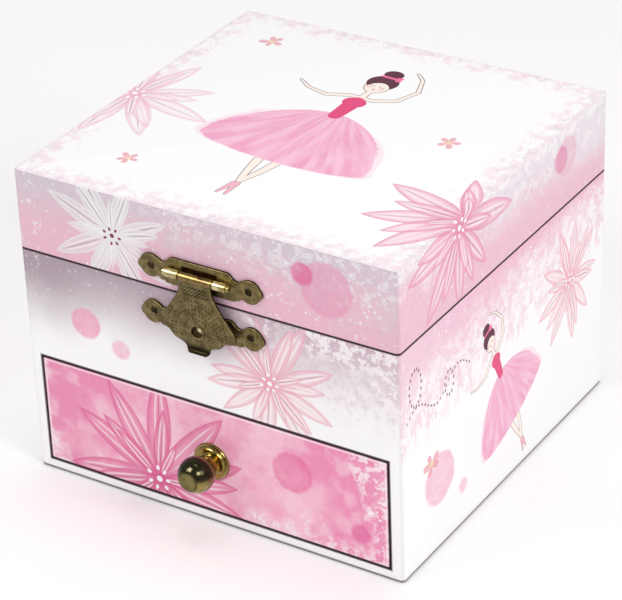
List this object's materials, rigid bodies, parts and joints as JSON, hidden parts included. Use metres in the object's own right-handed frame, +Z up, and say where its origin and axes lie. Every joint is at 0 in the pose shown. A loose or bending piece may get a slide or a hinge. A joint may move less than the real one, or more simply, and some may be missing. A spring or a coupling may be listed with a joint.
{
  "type": "musical jewellery box",
  "caption": "Square paper-covered musical jewellery box with a clasped hinged lid, a knobbed drawer, and a spring-mounted dancer turned by a wind-up pinned-cylinder movement.",
  "frame": {"origin": "centre of the case's underside", "axes": "+X to the right along the front, +Y from the front to the back, +Z up"},
  "size_m": [0.108, 0.133, 0.086],
  "materials": {
    "board": "grey-brown bookbinding board, bare on its inner faces",
    "drawer_board": "thin board of the drawer box",
    "printed_paper": "satin printed paper, pink and white watercolour",
    "lid_paper": "satin printed paper, white with pink edges",
    "drawer_paper": "satin printed paper, saturated pink",
    "lining": "short-pile flocked lining",
    "antique_brass": "antiqued stamped brass, polished on the high spots",
    "bright_brass": "turned brass",
    "dark_nails": "darkened brass nails",
    "steel": "bright drawn steel",
    "spring_steel": "blued spring steel",
    "felt_steel": "steel wire with a dark soft foot",
    "mirror_glass": "silvered flat glass",
    "dancer_plastic": "moulded painted plastic",
    "tulle": "stiff pink tulle"
  },
  "bodies": {
    "case": {"base_panel": "board", "front_panel": "board", "back_panel": "board", "left_panel": "board", "right_panel": "board", "tray_floor": "board", "movement_partition": "board", "music_deck": "board", "case_wrap": "printed_paper", "tray_lining": "lining", "deck_lining": "lining", "clasp_catch_plate": "antique_brass", "clasp_catch_stud": "bright_brass", "case_fitting_nails": "dark_nails", "hinge_case_leaves": "antique_brass", "hinge_pins": "bright_brass", "movement_bedplate": "bright_brass", "movement_screws": "steel", "comb_base": "bright_brass", "steel_comb": "steel", "cylinder_bearings": "bright_brass", "governor_bracket": "bright_brass", "spindle_bush": "bright_brass"},
    "lid": {"lid_top_panel": "board", "lid_front_rail": "board", "lid_back_rail": "board", "lid_left_rail": "board", "lid_right_rail": "board", "lid_wrap": "lid_paper", "lid_lining": "lining", "mirror": "mirror_glass", "clasp_lid_plate": "antique_brass", "clasp_hinge_pin": "bright_brass", "hinge_lid_leaves": "antique_brass", "lid_fitting_nails": "dark_nails"},
    "clasp_flap": {"clasp_flap": "antique_brass"},
    "drawer": {"drawer_front": "board", "drawer_front_wrap": "drawer_paper", "drawer_sides": "drawer_board", "drawer_back": "drawer_board", "drawer_bottom": "drawer_board", "drawer_lining": "lining", "knob_backplate": "antique_brass", "drawer_knob": "antique_brass", "knob_screw": "steel"},
    "key": {"winding_key": "bright_brass", "winding_arbor": "steel"},
    "barrel": {"spring_barrel": "bright_brass", "barrel_cover": "bright_brass", "mainspring": "spring_steel"},
    "cylinder": {"pinned_cylinder": "bright_brass", "cylinder_arbor": "steel"},
    "governor_wheel": {"governor_wheel": "bright_brass"},
    "governor": {"governor_worm": "steel", "governor_fan": "steel"},
    "spindle": {"dancer_spindle": "steel"},
    "dancer_spring": {"dancer_spring": "steel"},
    "dancer": {"dancer_figure": "dancer_plastic", "dancer_tutu": "tulle"},
    "stop_wire": {"stop_wire": "felt_steel"}
  },
  "joints": [
    {"name": "lid_hinge", "type": "hinge", "parent": "case", "child": "lid", "pos_m": [0, 0.0539, 0.064], "axis": [-1, 0, 0], "range_deg": [0, 100]},
    {"name": "clasp_flap_hinge", "type": "hinge", "parent": "lid", "child": "clasp_flap", "pos_m": [0, -0.0546, 0.0703], "axis": [-1, 0, 0], "range_deg": [0, 110]},
    {"name": "drawer_slide", "type": "slide", "parent": "case", "child": "drawer", "axis": [0, -1, 0], "range_m": [0, 0.06]},
    {"name": "key_turn", "type": "hinge", "parent": "case", "child": "key", "pos_m": [0, 0.06, 0.0405], "axis": [0, 1, 0], "continuous": true},
    {"name": "cylinder_spin", "type": "hinge", "parent": "case", "child": "cylinder", "pos_m": [-0.024, 0.0354, 0.0405], "axis": [1, 0, 0], "continuous": true},
    {"name": "barrel_spin", "type": "hinge", "parent": "case", "child": "barrel", "pos_m": [0, 0.042, 0.0405], "axis": [0, 1, 0], "continuous": true},
    {"name": "governor_wheel_spin", "type": "hinge", "parent": "case", "child": "governor_wheel", "pos_m": [-0.04, 0.0354, 0.034], "axis": [1, 0, 0], "continuous": true},
    {"name": "governor_spin", "type": "hinge", "parent": "case", "child": "governor", "pos_m": [-0.04, 0.02965, 0.034], "axis": [0, 0, 1], "continuous": true},
    {"name": "spindle_spin", "type": "hinge", "parent": "case", "child": "spindle", "pos_m": [0, 0.0354, 0.053], "axis": [0, 0, 1], "continuous": true},
    {"name": "dancer_fold", "type": "hinge", "parent": "case", "child": "dancer_spring", "pos_m": [0, 0.03433, 0.06143], "axis": [-1, 0, 0], "range_deg": [0, 90], "deforming": ["dancer_spring"]},
    {"name": "dancer_spin", "type": "hinge", "parent": "dancer_spring", "child": "dancer", "pos_m": [0, 0.0304, 0.0625], "axis": [0, -1, 0], "continuous": true},
    {"name": "stop_wire_lift", "type": "slide", "parent": "case", "child": "stop_wire", "axis": [0, 0, 1], "range_m": [0, 0.003]}
  ],
  "couplings": [
    {"joint": "barrel_spin", "follows": "cylinder_spin", "ratio": 0.25},
    {"joint": "spindle_spin", "follows": "cylinder_spin", "ratio": -1},
    {"joint": "dancer_spin", "follows": "cylinder_spin", "ratio": -1},
    {"joint": "governor_wheel_spin", "follows": "cylinder_spin", "ratio": -3},
    {"joint": "governor_spin", "follows": "cylinder_spin", "ratio": -72},
    {"joint": "dancer_fold", "follows": "lid_hinge", "ratio": 0.9},
    {"joint": "stop_wire_lift", "follows": "lid_hinge", "m_per_rad": 0.0017}
  ]
}
